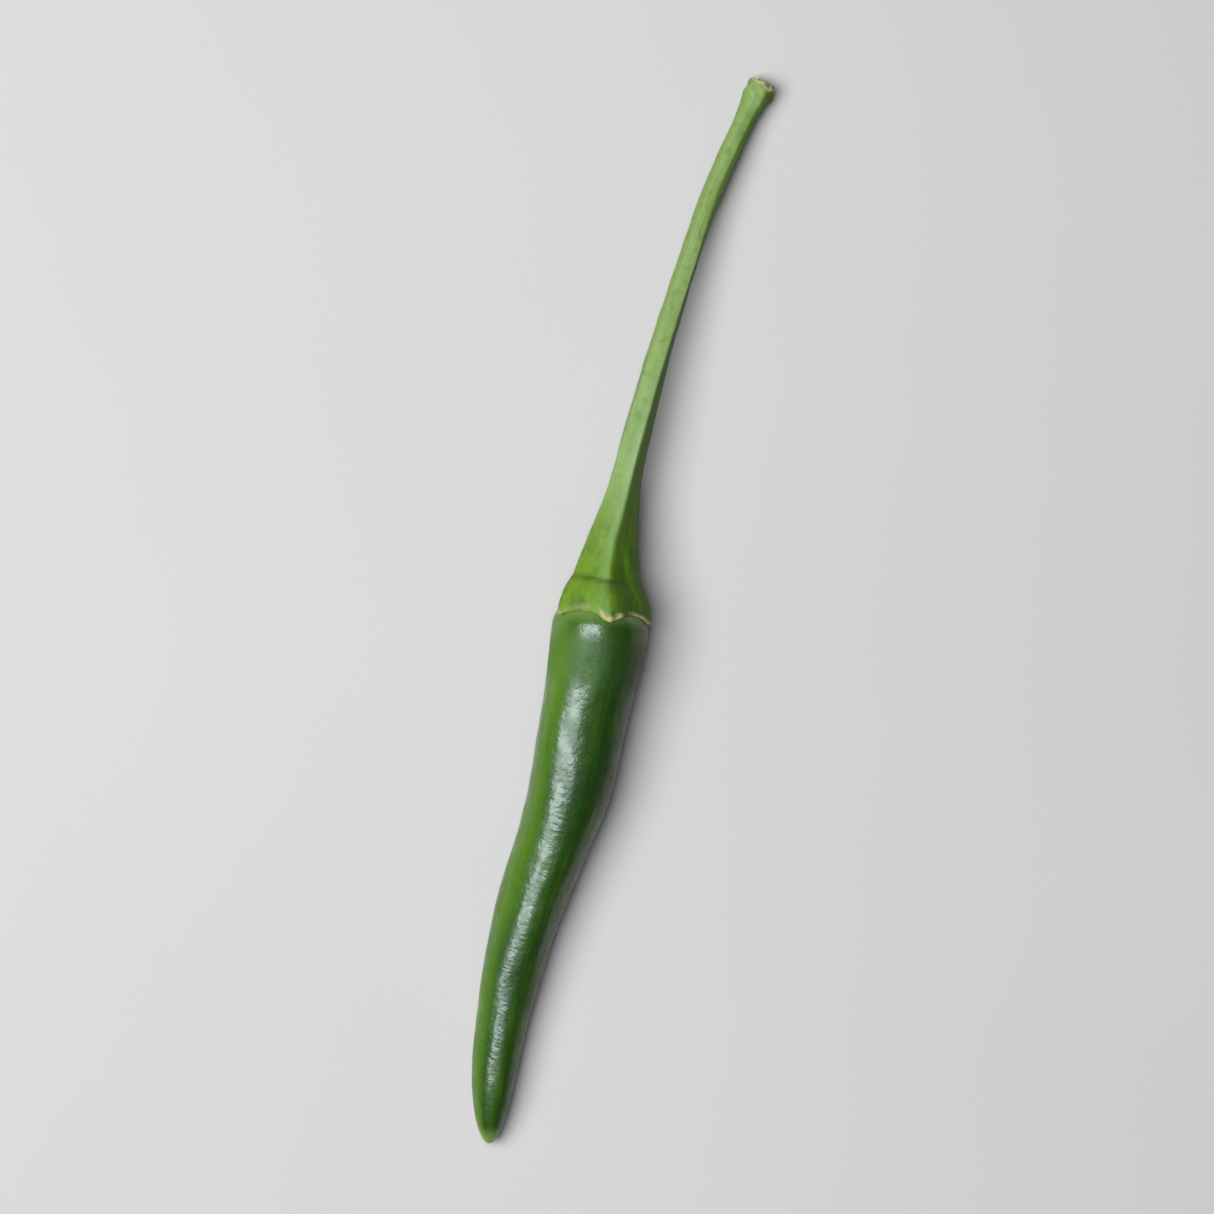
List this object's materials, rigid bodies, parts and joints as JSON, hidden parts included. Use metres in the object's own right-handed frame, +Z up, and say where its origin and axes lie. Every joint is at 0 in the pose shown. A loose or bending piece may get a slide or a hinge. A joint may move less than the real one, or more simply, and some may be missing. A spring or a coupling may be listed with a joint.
{
  "type": "chilli pepper",
  "caption": "Slim green chilli pepper with a slightly curved tapering pod, a toothed calyx and a long ridged stem, lying on its side.",
  "frame": {"origin": "on the surface that the chilli lies on, under the middle of its box", "axes": "+X from the pod's tip to the stem's end, +Z up from the surface, +Y completes the right-handed frame"},
  "size_m": [0.1153, 0.0107, 0.0105],
  "materials": {
    "pod_skin": null,
    "calyx_skin": null,
    "stem_skin": null
  },
  "bodies": {
    "root": {"pod": "pod_skin", "calyx": "calyx_skin", "stem": "stem_skin"}
  },
  "joints": []
}
